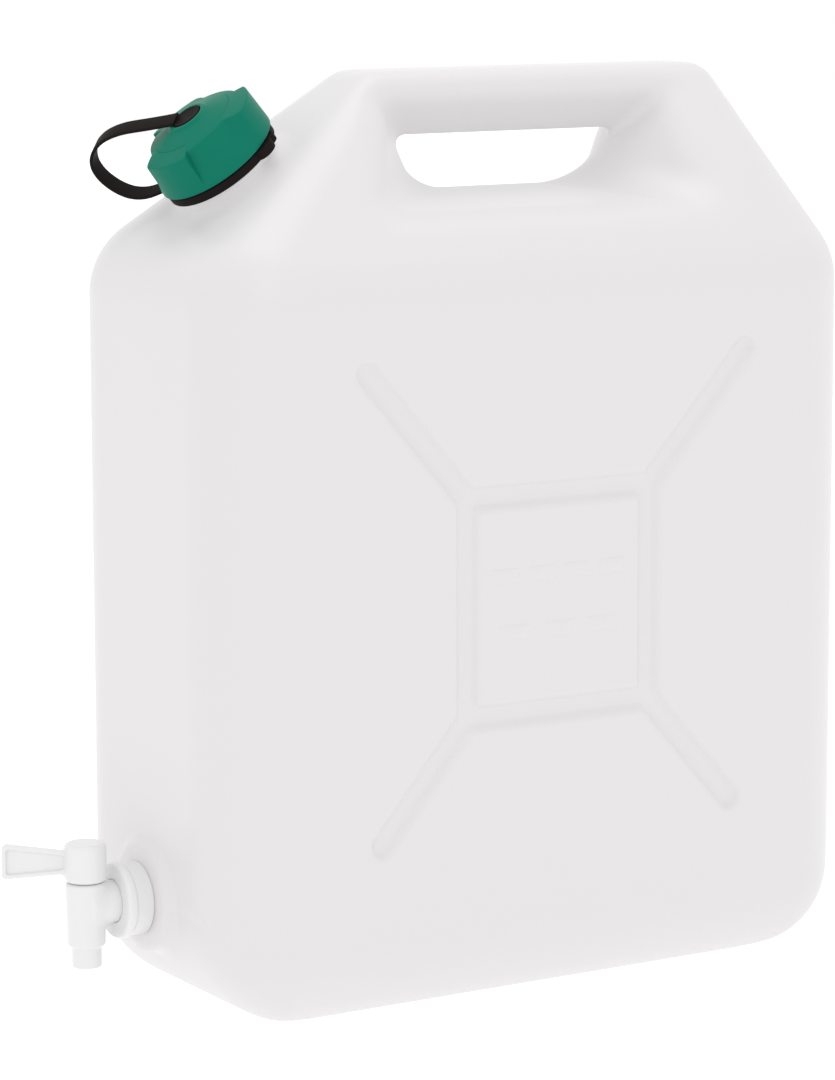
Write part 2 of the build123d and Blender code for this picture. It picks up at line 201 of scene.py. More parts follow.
LENGTH, DEPTH, HEIGHT = 356.0, 164.4, 440.0
SHOULDER_Z, SHOULDER_R = 335.0, 40.0
CROWN_R = 17.0
CROWN_Z = HEIGHT - CROWN_R
CROWN_X = (-60.0, 118.5)
CROWN_HALF_DEPTH = 9.0
BASE_R_ENDS = 55.0
BASE_EASE, BASE_BLEND = 20.0, 4.0         # how the ends' larger radius eases round the corners
SEARCH_ROUNDS = 16                        # of the golden search for the nearest slope section
CORE_X, CORE_Y = LENGTH / 2 - SHOULDER_R, DEPTH / 2 - SHOULDER_R


def core_distance(p, height, radius, low_x, high_x, half_y):
    """Distance to a level rectangle swollen by a radius."""
    dx = np.maximum(np.maximum(low_x - p[:, 0], p[:, 0] - high_x), 0)
    dy = np.maximum(np.abs(p[:, 1]) - half_y, 0)
    return np.sqrt(dx * dx + dy * dy + (p[:, 2] - height) ** 2) - radius


def slope_core(p, t):
    """The same for the rectangle at share t of the way from the shoulder to the crown."""
    height = SHOULDER_Z + t * (CROWN_Z - SHOULDER_Z)
    low = -CORE_X + t * (CROWN_X[0] + CORE_X)
    high = CORE_X + t * (CROWN_X[1] - CORE_X)
    half = CORE_Y + t * (CROWN_HALF_DEPTH - CORE_Y)
    return core_distance(p, height, SHOULDER_R + t * (CROWN_R - SHOULDER_R), low, high, half)


def hull_field(p):
    """Walls, rounded base, shoulders, slopes and crown, with no openings."""
    upright = core_distance(p, np.clip(p[:, 2], SHOULDER_R, SHOULDER_Z), SHOULDER_R,
                            -CORE_X, CORE_X, CORE_Y)
    a, b = np.zeros(len(p)), np.ones(len(p))
    golden = (math.sqrt(5) - 1) / 2
    for _ in range(SEARCH_ROUNDS):
        c, d = b - golden * (b - a), a + golden * (b - a)
        lower = slope_core(p, c) < slope_core(p, d)
        a, b = np.where(lower, a, c), np.where(lower, d, b)
    form = np.minimum(upright, slope_core(p, (a + b) / 2))
    over = np.maximum(np.abs(p[:, 0]) - LENGTH / 2 + BASE_R_ENDS, 0)
    aside = np.maximum(np.abs(p[:, 1]) - CORE_Y, 0) * BASE_R_ENDS / SHOULDER_R
    under = np.maximum(BASE_R_ENDS - p[:, 2], 0)
    aside = aside * over / (over + BASE_EASE)
    ends = np.sqrt(over ** 2 + aside ** 2 + under ** 2) - BASE_R_ENDS
    return np.where((over > 0) & (under > 0), smooth_max(form, ends, BASE_BLEND), form)


# ---- handle opening, neck foot, tap boss and relief ----------------------------------

WAIST = {"top": 409.0, "bottom": 383.4, "top_x": (-44.5, 86.0), "bottom_x": (-31.0, 63.0)}
RISE, DROP = 1.02, 0.14                   # how the opening's top and bottom leave the waist
SPREAD = (0.95, 0.76)                     # and how its sides do, at the tap end first
OPENING_LOW_R = (11.0, 15.0)              # bottom corners, at the tap end and the far end
OPENING_HIGH_R = 6.0
RIDGE_R = 2.5                             # rounding of the waist's ridge
OPENING_BLEND = 11.0                      # rounding of the opening's rim

NECK_TILT = math.radians(39.0)
NECK_FOOT = np.array([-129.0, 0.0, 392.0])
NECK_AXIS = np.array([-math.sin(NECK_TILT), 0, math.cos(NECK_TILT)])
DOWN_SLOPE = np.array([-math.cos(NECK_TILT), 0, -math.sin(NECK_TILT)])
NECK_SIDE = np.array([0.0, -1.0, 0.0])
NECK_R, NECK_BORE_R, NECK_LENGTH = 23.4, 20.6, 27.0
NECK_CUT = 5.0                            # the threaded part is its own mesh from here up
NECK_SINK = 10.0                          # half the length by which its foot reaches inwards
NECK_BLEND = 14.0

TAP_Z = 57.0
BOSS_R, BOSS_FACE, BOSS_ROOT, BOSS_ROUND, BOSS_BLEND = 25.6, -182.6, -150, 2.0, 7.0
SPIGOT_R, SPIGOT_END, SPIGOT_ROUND, SPIGOT_BLEND = 14.3, -189.5, 0.6, 1.0
SPIGOT_BORE_R, SPIGOT_BORE_END, SPIGOT_BORE_ROUND = 10.5, -172, 0.3
PAST_END = 20                             # how far the cutting bore runs past the spigot's end

GROOVE_DEPTH, GROOVE_W = 2.6, 12.0
GROOVE_WALL = (2.2, 0.6)                  # its walls run from inside its edge to outside it
FACE_FADE = (10, 6)                       # depths below a face between which grooves fade in
GROOVE_CENTRE, GROOVE_SIZE = (-1.0, 193.7), (113.5, 115.6)
ARM_ENDS = ((-105.0, 307.0), (105.0, 307.0), (-98.0, 87.0), (98.0, 87.0))


def round_corner(a, b, r):
    """Meeting of two half-planes, rounded to a radius on the inside."""
    return np.minimum(np.maximum(a, b), -r) + np.hypot(np.maximum(a + r, 0),
                                                       np.maximum(b + r, 0))


def opening_field(p):
    """Handle opening: narrowest on the middle plane, wider towards both faces."""
    a = np.sqrt(p[:, 1] ** 2 + RIDGE_R ** 2) - RIDGE_R
    top = WAIST["top"] + RISE * a
    bottom = WAIST["bottom"] - DROP * a
    above = (p[:, 2] - top) / math.hypot(1, RISE)
    below = (bottom - p[:, 2]) / math.hypot(1, DROP)
    share = (p[:, 2] - bottom) / (top - bottom)
    sides = []
    for end, sign in ((0, -1), (1, 1)):
        high = WAIST["top_x"][end] + sign * SPREAD[end] * a
        low = WAIST["bottom_x"][end] + sign * SPREAD[end] * a
        edge = low + (high - low) * share
        lean = math.hypot(1, (WAIST["top_x"][end] - WAIST["bottom_x"][end])
                          / (WAIST["top"] - WAIST["bottom"]), SPREAD[end])
        sides.append(sign * (p[:, 0] - edge) / lean)
    corners = [round_corner(side, below, r) for side, r in zip(sides, OPENING_LOW_R)]
    corners += [round_corner(side, above, OPENING_HIGH_R) for side in sides]
    return np.max(corners, axis=0)


def neck_coordinates(p):
    """(distance from the neck's axis, height above its foot)."""
    q = p - NECK_FOOT
    height = q @ NECK_AXIS
    return np.linalg.norm(q - height[:, None] * NECK_AXIS, axis=1), height


def relief(x, z):
    """Depth of the moulded grooves at a point of a big face, from 0 to 1."""
    half = [(size - GROOVE_W) / 2 for size in GROOVE_SIZE]
    dx, dz = x - GROOVE_CENTRE[0], z - GROOVE_CENTRE[1]
    square = np.stack([np.abs(dx) - half[0], np.abs(dz) - half[1]], -1)
    away = np.abs(np.linalg.norm(np.maximum(square, 0), axis=-1)
                  + np.minimum(square.max(axis=-1), 0))
    for end_x, end_z in ARM_ENDS:
        start_x = GROOVE_CENTRE[0] + math.copysign(half[0], end_x)
        start_z = GROOVE_CENTRE[1] + math.copysign(half[1], end_z - GROOVE_CENTRE[1])
        away = np.minimum(away, segment(x, z, start_x, start_z, end_x, end_z))
    return 1 - smooth_step(away, GROOVE_W / 2 - GROOVE_WALL[0], GROOVE_W / 2 + GROOVE_WALL[1])


def shell_field(p):
    """Outside of the tank up to where the threaded neck starts."""
    radial, height = neck_coordinates(p)
    form = hull_field(p)
    form = smooth_max(form, -opening_field(p), OPENING_BLEND)
    near_face = smooth_step(np.abs(p[:, 1]), DEPTH / 2 - FACE_FADE[0], DEPTH / 2 - FACE_FADE[1])
    form = form + GROOVE_DEPTH * relief(p[:, 0], p[:, 2]) * near_face
    neck = np.maximum(radial - NECK_R, np.abs(height + NECK_SINK) - NECK_SINK - NECK_CUT - 1)
    form = smooth_min(form, neck, NECK_BLEND)
    from_tap_axis = np.hypot(p[:, 1], p[:, 2] - TAP_Z)
    boss = round_disc(from_tap_axis, p[:, 0], BOSS_R, BOSS_FACE, BOSS_ROOT, BOSS_ROUND)
    spigot = round_disc(from_tap_axis, p[:, 0], SPIGOT_R, SPIGOT_END, BOSS_ROOT, SPIGOT_ROUND)
    form = smooth_min(smooth_min(form, boss, BOSS_BLEND), spigot, SPIGOT_BLEND)
    bore = round_disc(from_tap_axis, p[:, 0], SPIGOT_BORE_R, SPIGOT_END - PAST_END,
                      SPIGOT_BORE_END, SPIGOT_BORE_ROUND)
    return np.maximum(form, -bore)


# ---- meshes of revolution, about the neck's or the tap's axis ------------------------

def rounded(corners, closed=False, steps=4):
    """Outline with its corners rounded: each corner is (radius, height, rounding length)."""
    points = []
    count = len(corners)
    for i, (r, h, trim) in enumerate(corners):
        ends = (i == 0 or i == count - 1) and not closed
        if ends or trim <= 0:
            points.append((r, h))
            continue
        here = np.array([r, h])
        before = np.array(corners[i - 1][:2]) - here
        after = np.array(corners[(i + 1) % count][:2]) - here
        a = here + before * min(trim / np.linalg.norm(before), 0.5)
        b = here + after * min(trim / np.linalg.norm(after), 0.5)
        for t in np.linspace(0, 1, steps + 1):
            points.append(tuple((1 - t) ** 2 * a + 2 * t * (1 - t) * here + t * t * b))
    return points


def around_neck(radius, angle, height):
    """Points in millimetres from arrays of radius, angle and height about the neck's axis."""
    return (NECK_FOOT + (radius * np.cos(angle))[..., None] * DOWN_SLOPE
            + (radius * np.sin(angle))[..., None] * NECK_SIDE
            + height[..., None] * NECK_AXIS)


def around_tap(radius, angle, along):
    """The same about the tap's level axis, with along measured as x."""
    return np.stack([along, radius * np.cos(angle), TAP_Z + radius * np.sin(angle)], -1)


def turned(name, place, radius, angle, height, closed, sharp=40):
    """Object from rows of a profile at each angle. Rows run anticlockwise up the outside."""
    points = place(radius, angle, height)
    rows, columns = radius.shape
    index = np.arange(rows * columns).reshape(rows, columns)
    following = np.roll(index, -1, axis=0)
    last = rows if closed else rows - 1
    beside = np.roll(index, -1, axis=1)
    beyond = np.roll(following, -1, axis=1)
    quads = np.stack([index, beside, beyond, following], -1)[:last].reshape(-1, 4)
    return clean_object(name, points.reshape(-1, 3), quads, sharp)


def clean_object(name, points, faces, sharp=None):
    """Mesh object with doubled points welded and normals outwards."""
    obj = mesh_object(name, points, faces)
    edit = bmesh.new()
    edit.from_mesh(obj.data)
    bmesh.ops.remove_doubles(edit, verts=edit.verts, dist=0.004 * MM)
    bmesh.ops.dissolve_degenerate(edit, dist=0.002 * MM, edges=edit.edges)
    bmesh.ops.recalc_face_normals(edit, faces=edit.faces)
    edit.to_mesh(obj.data)
    edit.free()
    obj.data.shade_smooth()
    if sharp:
        obj.data.set_sharp_from_angle(angle=math.radians(sharp))
    return obj


def lathe(name, place, corners, columns=144, closed=True, bump=None, sharp=40):
    """Turned object from one rounded outline, with bump(angle) added to its outer radius."""
    outline = np.array(rounded(corners, closed))
    angle = np.linspace(0, 2 * math.pi, columns, endpoint=False)
    radius = np.repeat(outline[:, :1], columns, 1)
    height = np.repeat(outline[:, 1:], columns, 1)
    if bump is not None:
        outer = outline[:, :1] > (outline[:, 0].min() + outline[:, 0].max()) / 2
        radius = radius + outer * bump(np.degrees(angle))[None, :]
    angle = np.repeat(angle[None, :], len(outline), 0)
    return turned(name, place, radius, angle, height, closed, sharp)


# ---- threads and neck ----------------------------------------------------------------

PITCH, THREAD_DEPTH, CREST, ROOT = 5.0, 1.7, 1.4, 2.2
NECK_TURNS, CAP_TURNS = 2.0, 1.6
NECK_THREAD_START = 15.0
CAP_THREAD_START = NECK_THREAD_START + PITCH / 2
THREAD_FADE = 0.05                        # turns over which a thread's ends rise and fall
ROW_STEP = 0.3                            # spacing of the rows that follow a thread
BEAD_R, BEAD_Z = 27.0, (5.0, 8.2)
NECK_COLUMNS = 216
NECK_THREAD_ROWS, CAP_THREAD_ROWS = (12.9, 26.0), (26.3, 14.2)


def thread(angle, height, start, turns):
    """How far a right-handed ridge stands proud, over rows and columns of angle and height."""
    turn = angle / (2 * math.pi) % 1
    lap = np.clip(np.round((height - start) / PITCH - turn), 0, 1)
    off = np.abs(height - start - PITCH * (turn + lap))
    ridge = np.clip((ROOT / 2 - off) / ((ROOT - CREST) / 2), 0, 1)
    travelled = turn + lap
    first = smooth_step(travelled, 0, THREAD_FADE)
    last = 1 - smooth_step(travelled, turns - THREAD_FADE, turns)
    return THREAD_DEPTH * ridge * (first * last)


def threaded_neck():
    """Bead, threaded wall, rim and bore."""
    outline = rounded([(NECK_R, NECK_CUT - 0.5, 0), (NECK_R, BEAD_Z[0], 0),
                       (BEAD_R, BEAD_Z[0] + 0.3, 1.0), (BEAD_R, BEAD_Z[1], 1.0),
                       (NECK_R, BEAD_Z[1], 0.8), (NECK_R, 12.6, 0)], steps=3)
    outline += [(NECK_R, h) for h in np.arange(*NECK_THREAD_ROWS, ROW_STEP)]
    outline += rounded([(NECK_R, 26.1, 0), (NECK_R, NECK_LENGTH, 0.7),
                        (NECK_BORE_R, NECK_LENGTH, 0.8), (NECK_BORE_R, NECK_CUT - 0.5, 0)])
    outline = np.array(outline)
    angle = np.linspace(0, 2 * math.pi, NECK_COLUMNS, endpoint=False)
    angle = np.repeat(angle[None, :], len(outline), 0)
    radius = np.repeat(outline[:, :1], NECK_COLUMNS, 1)
    height = np.repeat(outline[:, 1:], NECK_COLUMNS, 1)
    outside = (outline[:, :1] == NECK_R) & (outline[:, 1:] > BEAD_Z[1] + 1)
    radius = radius + outside * thread(angle, height, NECK_THREAD_START, NECK_TURNS)
    return turned("neck_thread", around_neck, radius, angle, height, True, 50)


def join(main, *others):
    """Adds other objects' meshes to the first object."""
    edit = bmesh.new()
    for obj in (main, *others):
        edit.from_mesh(obj.data)
    edit.to_mesh(main.data)
    edit.free()
    for obj in others:
        data = obj.data
        bpy.data.objects.remove(obj)
        bpy.data.meshes.remove(data)
    main.data.update()
    return main


BAR_PROUD, BAR_CORNER, BAR_CORNER_POINTS = 0.28, 1.6, 6
BAR_RINGS = ((1.06, -0.05), (1.03, 0.1), (0.97, 0.75 * BAR_PROUD), (0.9, BAR_PROUD),
             (0.0, BAR_PROUD))            # (share of the outline, height above the face)
BAR_ROWS = ((208.0, 6.4, (-31.0, -10.5, 9.5, 29.5), 15.0),
            (181.0, 6.4, (-26.0, 0.0, 24.0), 17.0))   # (z, height, places along x, width)


def rounded_bar(centre_x, centre_z, width, height, side):
    """Low raised bar on a big face."""
    outline = []
    for cx, cz, first in ((1, 1, 0), (-1, 1, 90), (-1, -1, 180), (1, -1, 270)):
        for a in np.linspace(first, first + 90, BAR_CORNER_POINTS):
            a = math.radians(a)
            outline.append((cx * (width / 2 - BAR_CORNER) + BAR_CORNER * math.cos(a),
                            cz * (height / 2 - BAR_CORNER) + BAR_CORNER * math.sin(a)))
    outline = np.array(outline)
    rows = []
    for share, out in BAR_RINGS:
        ring_points = np.empty((len(outline), 3))
        ring_points[:, 0] = centre_x + share * outline[:, 0]
        ring_points[:, 2] = centre_z + share * outline[:, 1]
        ring_points[:, 1] = side * (DEPTH / 2 + out)
        rows.append(ring_points)
    points = np.concatenate(rows)
    n = len(outline)
    faces = [(i * n + j, i * n + (j + 1) % n, (i + 1) * n + (j + 1) % n, (i + 1) * n + j)
             for i in range(len(rows) - 1) for j in range(n)]
    return clean_object("bar", points, faces)


SHELL_STEP = 2.2
SHELL_SPAN = (-196, -88, -6), (184, 88, 446)


def make_shell():
    """The whole tank: outside, threaded neck and the plain raised bars."""
    points, quads = field_surface(shell_field, *SHELL_SPAN, SHELL_STEP)
    outside = mesh_object("can_shell", points, quads)
    bars = [rounded_bar(x, z, width, height, side)
            for z, height, places, width in BAR_ROWS for x in places for side in (-1, 1)]
    return join(outside, threaded_neck(), *bars)


# ---- cap -----------------------------------------------------------------------------

CAP_BASE, CAP_R, CAP_BORE_R, CAP_ROOF = 12.9, 30.1, 25.6, 29.6
HUB_R, HUB_FOOT, HUB_TOP = 11.0, 36.4, 37.8
RECESS_R, RECESS_FLOOR, HOLE_R = 7.7, 34.9, 3.8
CONE_FALL, WING_FALL = 0.30, 0.20         # fall of the roof's two surfaces per millimetre
CREASE_R = 20.5                           # where the two meet
CREASE_W, CREASE_DEPTH = 0.25, 0.22
LOBES, LOBE_START = 3, math.radians(46)
LOBE_START_R, LOBE_DIP_R, LOBE_TIP_R = 25.5, 23.5, 29.7
LOBE_EASE = -0.1                          # share of the lobe from which it starts to narrow
LOBE_DIP, LOBE_FULL = 0.43, 0.58          # shares where it is narrowest and full again
LOBE_SHARES = (0.0022, 0.006, 0.012, 0.021, 0.033)   # close columns at a lobe's two ends
LOBE_EVEN = (0.045, 0.955, 92)            # and the even ones between
TIP_DROP, TIP_LENGTH = 0.25, 0.006        # how the tip's edge is softened
WING_EASE = 0.06                          # share over which the roof's outer surface starts
GRIP_LOW, GRIP_CURVE, GRIP_ROWS = 15.0, 1.18, 22   # how the wall draws in, and from what height
EDGE_DROP, EDGE_BACK = 0.7, 0.8           # size of the rounding of the grip's top edge
SEAT_TRIM, MOUTH_TRIM, MOUTH_Z = 1.8, 1.2, 27.5   # how the bore narrows to the gasket's seat
SKIRT_TOP = 14.4                          # top of the round skirt's last row
HUB_ROUND = 1.4                           # length of the fillet at the hub's foot
CAP_SHARP = 32                            # degrees past which its edges stay sharp
SEAL_R, SEAL_Z, SEAL_ROUND = (18.8, 23.6), (27.2, 29.5), 0.2


def lobe_radius(share):
    """Radius of the grip's top edge along one lobe, share running from 0 to 1."""
    narrowing = smooth_step(share, LOBE_EASE, LOBE_DIP)
    falling = LOBE_START_R + (LOBE_DIP_R - LOBE_START_R) * narrowing
    return falling + (LOBE_TIP_R - LOBE_DIP_R) * smooth_step(share, LOBE_DIP, LOBE_FULL)


def make_cap():
    """Screw cap: round base, three-lobed grip, roof with thin creases, hub with a recess."""
    share = np.array([*LOBE_SHARES, *np.linspace(*LOBE_EVEN),
                      *(1 - s for s in reversed(LOBE_SHARES))])
    share = np.tile(share, LOBES)
    lobe = np.repeat(np.arange(LOBES), len(share) // LOBES)
    angle = LOBE_START + (lobe + share) * 2 * math.pi / LOBES
    top_r = lobe_radius(share) - TIP_DROP * np.exp(-(1 - share) / TIP_LENGTH)
    winged = smooth_step(share, LOBE_DIP, LOBE_DIP + WING_EASE)

    def roof(r):
        """Height of the roof at a radius."""
        cone = HUB_FOOT - CONE_FALL * (r - HUB_R)
        return cone + winged * (CONE_FALL - WING_FALL) * np.maximum(r - CREASE_R, 0)

    rows = []

    def row(r, h):
        """Adds a row from a radius and a height, or from one of each per angle."""
        rows.append((np.broadcast_to(r, share.shape), np.broadcast_to(h, share.shape)))

    for r, h in rounded([(HOLE_R, CAP_ROOF, 0), (CAP_BORE_R - SEAT_TRIM, CAP_ROOF, 0.2),
                         (CAP_BORE_R - MOUTH_TRIM, MOUTH_Z, 0)], steps=3):
        row(r, h)
    for h in np.arange(*CAP_THREAD_ROWS, -ROW_STEP):
        ridge = thread(angle, np.full_like(angle, h), CAP_THREAD_START, CAP_TURNS)
        row(CAP_BORE_R - ridge, h)
    for r, h in rounded([(CAP_BORE_R, 14.0, 0), (CAP_BORE_R, CAP_BASE, 0.5),
                         (CAP_R, CAP_BASE, 0.9), (CAP_R, SKIRT_TOP, 0)], steps=3):
        row(r, h)
    edge_h = roof(top_r)
    below = edge_h - EDGE_DROP
    for t in np.linspace(0.0, 1, GRIP_ROWS):
        row(CAP_R - (CAP_R - top_r) * t ** GRIP_CURVE, GRIP_LOW + (below - GRIP_LOW) * t)
    outer = top_r - EDGE_BACK
    for t in np.linspace(0.2, 1, 5):
        row((1 - t * t) * top_r + t * t * outer,
            (1 - t) ** 2 * below + 2 * t * (1 - t) * edge_h + t * t * roof(outer))
    inner = np.minimum(CREASE_R + CREASE_W, outer - 0.15)
    for t in (0.25, 0.5, 0.75, 1.0):
        r = outer + (inner - outer) * t
        row(r, roof(r))
    row(inner - CREASE_W, roof(inner - CREASE_W) - CREASE_DEPTH * winged)
    start = inner - 0.6
    for t in np.linspace(0, 1, 9):
        r = start + (HUB_R + HUB_ROUND - start) * t
        row(r, roof(r))
    hub = [(HUB_R + HUB_ROUND, HUB_FOOT - HUB_ROUND * CONE_FALL, 0),
           (HUB_R - 0.4, HUB_FOOT + 0.1, HUB_ROUND),
           (HUB_R - 1.7, HUB_TOP, 0.7), (RECESS_R, HUB_TOP, 0.5),
           (RECESS_R, RECESS_FLOOR, 0.3), (HOLE_R, RECESS_FLOOR, 0.2),
           (HOLE_R, CAP_ROOF + 0.3, 0)]
    for r, h in rounded(hub, steps=4)[1:]:
        row(r, h)
    radius = np.array([r for r, _ in rows])
    height = np.array([h for _, h in rows])
    angle = np.repeat(angle[None, :], len(rows), 0)
    return turned("cap_shell", around_neck, radius, angle, height, True, CAP_SHARP)


def make_cap_gasket():
    """Sealing ring under the cap's roof."""
    (inner, outer), (low, high) = SEAL_R, SEAL_Z
    corners = ((inner, low), (outer, low), (outer, high), (inner, high))
    return lathe("cap_seal", around_neck, [(r, h, SEAL_ROUND) for r, h in corners])


# ---- tether --------------------------------------------------------------------------

COLLAR_Z, COLLAR_R = (7.8, 12.2), (23.8, 29.0)
LUGS = ((113.5, 4.0, 11.0), (130.0, 2.0, 6.0))   # (angle, length in mm, half width in degrees)
STRAP_ANGLE = math.radians(-52)
STRAP_W, STRAP_T, STRAP_ROUND, STRAP_STEP = 9.5, 1.6, 0.6, 1.2
# the strap's route: (distance from the neck's axis, height, rounding)
STRAP_ROUTE = ((5.4, 38.5, 0), (9.0, 39.3, 2), (19.0, 41.9, 9), (35.0, 46.6, 9),
               (49.0, 44.6, 9), (57.4, 35.0, 8), (54.2, 19.8, 8), (44.6, 10.4, 8),
               (27.0, 10.2, 0))
BUTTON_R, BUTTON_LOW, BUTTON_TOP, BUTTON_DISH_R = 7.3, 35.2, 38.2, 5.1
STEM_R, STEM_END, BARB_R, BARB_TOP = 3.4, 26.0, 5.2, CAP_ROOF - 0.3


def lug(angle):
    """Extra radius of the collar round its two lugs."""
    extra = np.zeros_like(angle)
    for middle, length, half in LUGS:
        off = (angle - middle + 180) % 360 - 180
        extra = np.maximum(extra, length * np.sqrt(np.clip(1 - (off / half) ** 2, 0, 1)))
    return extra


def make_collar():
    """Collar on the neck with its lugs."""
    low, high = COLLAR_Z
    return lathe("collar_ring", around_neck,
                 [(COLLAR_R[0], low, 0.4), (COLLAR_R[1], low, 0.8), (COLLAR_R[1], high, 0.8),
                  (COLLAR_R[0], high, 0.4)], columns=360, bump=lug)


def make_button():
    """Button with a rounded rim, its stem and its barbed end."""
    return lathe("button_stud", around_neck,
                 [(0, STEM_END, 0), (STEM_R, STEM_END, 0.4), (BARB_R, BARB_TOP, 0.3),
                  (STEM_R, BARB_TOP, 0.2), (STEM_R, BUTTON_LOW, 0.3),
                  (BUTTON_R, BUTTON_LOW, 0.4), (BUTTON_R, BUTTON_TOP, 0.6),
                  (BUTTON_DISH_R, BUTTON_TOP - 0.5, 1.0), (0, BUTTON_TOP - 0.7, 0)],
                 columns=96, closed=False)


def make_strap():
    """Flat band swept along the route from the button over the hub and back to the collar."""
    path = np.array(rounded(STRAP_ROUTE, steps=8))
    fine = [path[0]]
    for a, b in zip(path[:-1], path[1:]):
        count = max(1, int(np.linalg.norm(b - a) / STRAP_STEP))
        fine += [a + (b - a) * (i + 1) / count for i in range(count)]
    path = np.array(fine)
    for _ in range(3):
        path[1:-1] = (path[:-2] + 2 * path[1:-1] + path[2:]) / 4
    along = np.gradient(path, axis=0)
    along /= np.linalg.norm(along, axis=1, keepdims=True)
    normal = np.stack([-along[:, 1], along[:, 0]], 1)
    section = rounded([(u * STRAP_W / 2, v * STRAP_T / 2, STRAP_ROUND)
                       for u, v in ((-1, -1), (1, -1), (1, 1), (-1, 1))], closed=True, steps=3)
    out = math.cos(STRAP_ANGLE) * DOWN_SLOPE + math.sin(STRAP_ANGLE) * NECK_SIDE
    across = np.cross(NECK_AXIS, out)
    rings = []
    for (r, h), (nr, nh) in zip(path, normal):
        rings.append([NECK_FOOT + (r + nr * v) * out + (h + nh * v) * NECK_AXIS + u * across
                      for u, v in section])
    points = np.array(rings)
    count = points.shape[1]
    index = np.arange(points.shape[0] * count).reshape(-1, count)
    beside = np.roll(index, -1, axis=1)
    quads = np.stack([index[:-1], beside[:-1], beside[1:], index[1:]], -1).reshape(-1, 4)
    faces = [tuple(f) for f in quads] + [tuple(index[0]), tuple(index[-1][::-1])]
    return clean_object("strap_band", points.reshape(-1, 3), faces, 50)


# ---- tap -----------------------------------------------------------------------------

NUT_R, NUT_FRONT, NUT_BACK, NUT_LIP = 18.0, -196.6, -183.4, 2.4
FLANGE_R, INLET_R, INLET_BORE_R, TAP_GASKET_T = 14.2, 10.0, 5.0, 1.8
BARREL_X, BARREL_LOW, BARREL_HIGH, BARREL_R = -210.3, 37.6, 68.0, (8.85, 9.6)
SPOUT_R, SPOUT_BORE_R, SPOUT_END = 7.0, 5.0, 27.6
SPOUT_BLEND, INLET_BLEND, PORT_BLEND = 1.6, 3.0, 0.5
PLUG_R, PLUG_BORE_R, PLUG_LOW, PORT_R = 6.25, 6.45, 43.0, 4.0
HEAD_R, HEAD_LOW, HEAD_HIGH = 9.9, 68.35, 86.8
LEVER_ANGLE, LEVER_Z, LEVER_END = math.radians(146.5), 77.3, 39.0
LEVER_H, LEVER_T, LEVER_WEB, LEVER_RIM = (9.0, 17.0), 5.0, 1.8, 2.2
LEVER_CORNER, LEVER_BLEND, LEVER_SWELL = 2.4, 1.2, 0.5
POCKET_START, POCKET_CORNER, POCKET_BLEND, HEAD_BLEND = 9.0, 1.2, 0.7, 2.2
NUT_GAP, NUT_STEP = (0.15, 0.3), (0.7, 0.9)   # clearances inside, and its skirt's steps


def make_nut():
    """Union nut: front rim, slightly narrower skirt, bore and lip."""
    hole_r, bore_r = INLET_R + NUT_GAP[0], SPIGOT_R + NUT_GAP[1]
    return lathe("nut_ring", around_tap,
                 [(NUT_R - NUT_STEP[0], NUT_BACK, 0.5),
                  (NUT_R - NUT_STEP[1], NUT_FRONT + 5.0, 0.5),
                  (NUT_R, NUT_FRONT + 4.2, 0.6), (NUT_R, NUT_FRONT, 2.2),
                  (hole_r, NUT_FRONT, 0.8), (hole_r, NUT_FRONT + NUT_LIP, 0.3),
                  (bore_r, NUT_FRONT + NUT_LIP, 0.3), (bore_r, NUT_BACK, 0.5)])


def tap_body_field(p):
    """Flange, inlet, upright barrel and spout, bored for the water and the plug."""
    around_inlet = np.hypot(p[:, 1], p[:, 2] - TAP_Z)
    upright = np.hypot(p[:, 0] - BARREL_X, p[:, 1])
    taper = (p[:, 2] - BARREL_LOW) / (BARREL_HIGH - BARREL_LOW)
    barrel_r = BARREL_R[0] + (BARREL_R[1] - BARREL_R[0]) * np.clip(taper, 0, 1)
    barrel = round_disc(upright - barrel_r + BARREL_R[0], p[:, 2], BARREL_R[0], BARREL_LOW,
                        BARREL_HIGH, 1.4)
    start = SPIGOT_END - TAP_GASKET_T
    inlet = round_disc(around_inlet, p[:, 0], INLET_R, BARREL_X, start, 0.2)
    flange = round_disc(around_inlet, p[:, 0], FLANGE_R, NUT_FRONT + NUT_LIP, start, 0.3)
    spout = round_disc(upright, p[:, 2], SPOUT_R, SPOUT_END, BARREL_LOW + 4, 0.7)
    form = smooth_min(barrel, spout, SPOUT_BLEND)
    form = smooth_min(form, inlet, INLET_BLEND)
    form = np.minimum(form, flange)
    plug_bore = round_disc(upright, p[:, 2], PLUG_BORE_R, PLUG_LOW, BARREL_HIGH + 6, 0.2)
    spout_bore = round_disc(upright, p[:, 2], SPOUT_BORE_R, SPOUT_END - 6, PLUG_LOW + 2, 0.1)
    inlet_bore = round_disc(around_inlet, p[:, 0], INLET_BORE_R, BARREL_X, start + 6, 0.1)
    bores = np.minimum(np.minimum(plug_bore, spout_bore), inlet_bore)
    return smooth_max(form, -bores, PORT_BLEND)


